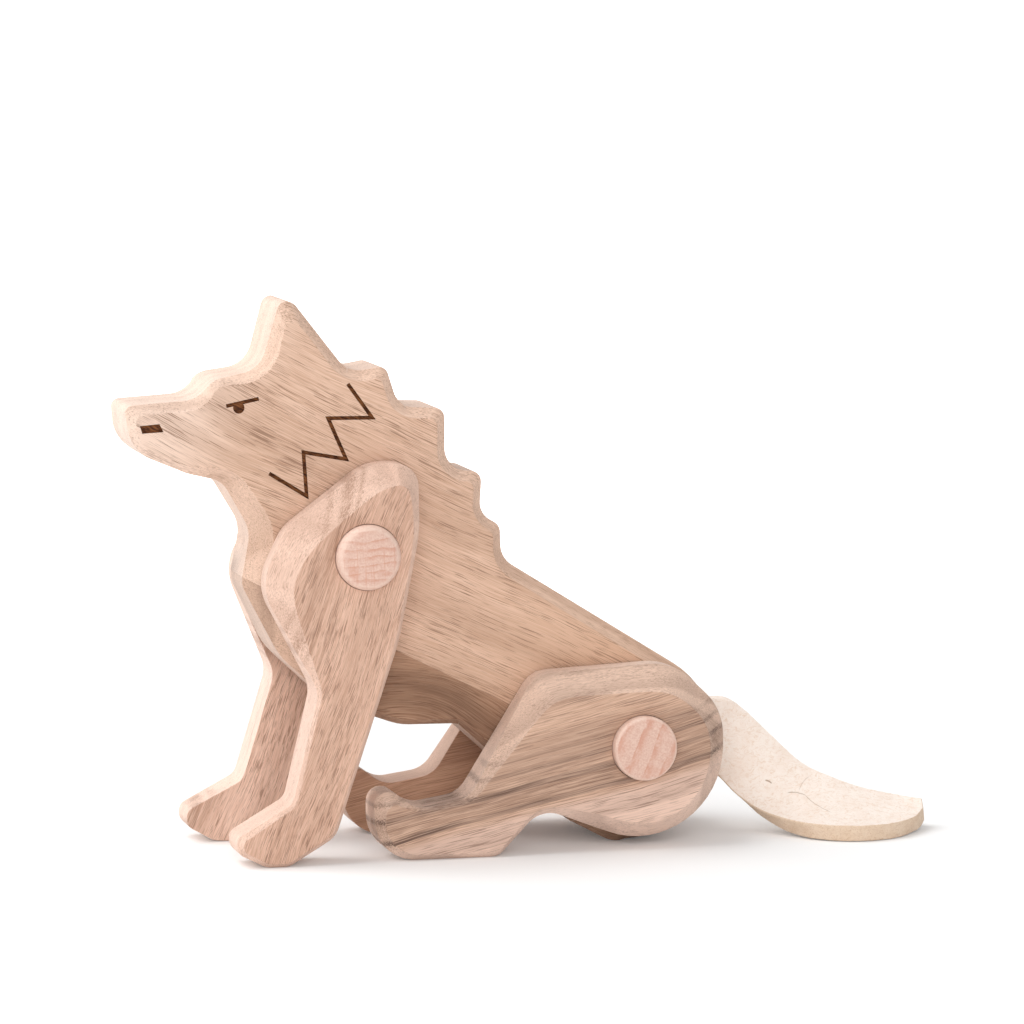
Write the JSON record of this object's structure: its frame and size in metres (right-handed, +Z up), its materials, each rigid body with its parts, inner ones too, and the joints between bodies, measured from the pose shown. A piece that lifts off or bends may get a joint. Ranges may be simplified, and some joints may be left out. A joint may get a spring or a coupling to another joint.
{
  "type": "jointed toy wolf",
  "caption": "Sitting toy wolf of bevelled walnut boards, with legs that turn on round beech pegs, burnt face marks and a bent felt tail.",
  "frame": {"origin": "on the floor under the middle of the whole figure, tail included", "axes": "+X towards the tail, so the wolf looks along -X; +Y towards its right side; +Z up"},
  "size_m": [0.1652, 0.046, 0.1106],
  "materials": {
    "light_walnut": "sanded, bare",
    "dark_walnut": "sanded, bare",
    "pink_walnut": "sanded, bare",
    "streaked_walnut": "sanded, bare",
    "beech": "sanded, bare",
    "felt": "matt wool felt"
  },
  "bodies": {
    "torso": {"main_board": "light_walnut", "belly_board": "dark_walnut", "front_left_peg": "beech", "front_right_peg": "beech", "hind_left_peg": "beech", "hind_right_peg": "beech", "felt_tail_root": "felt"},
    "left_front": {"front_left_leg": "pink_walnut"},
    "right_front": {"front_right_leg": "pink_walnut"},
    "left_hind": {"hind_left_leg": "streaked_walnut"},
    "right_hind": {"hind_right_leg": "streaked_walnut"},
    "tail": {"felt_tail": "felt"}
  },
  "joints": [
    {"name": "left_shoulder", "type": "hinge", "parent": "torso", "child": "left_front", "pos_m": [-0.03678, -0.0154, 0.061], "axis": [0, 1, 0], "range_deg": [-3, 110]},
    {"name": "right_shoulder", "type": "hinge", "parent": "torso", "child": "right_front", "pos_m": [-0.03788, 0.0154, 0.0599], "axis": [0, 1, 0], "range_deg": [-3, 110]},
    {"name": "left_hip", "type": "hinge", "parent": "torso", "child": "left_hind", "pos_m": [0.01952, -0.0154, 0.0209], "axis": [0, 1, 0], "range_deg": [-90, 2]},
    {"name": "right_hip", "type": "hinge", "parent": "torso", "child": "right_hind", "pos_m": [0.01952, 0.0154, 0.0209], "axis": [0, 1, 0], "range_deg": [-90, 2]},
    {"name": "tail_bend", "type": "hinge", "parent": "torso", "child": "tail", "pos_m": [0.03924, 0, 0.0193], "axis": [0, 0, 1], "range_deg": [-25, 25], "stiffness_Nm_per_rad": 0.006}
  ]
}
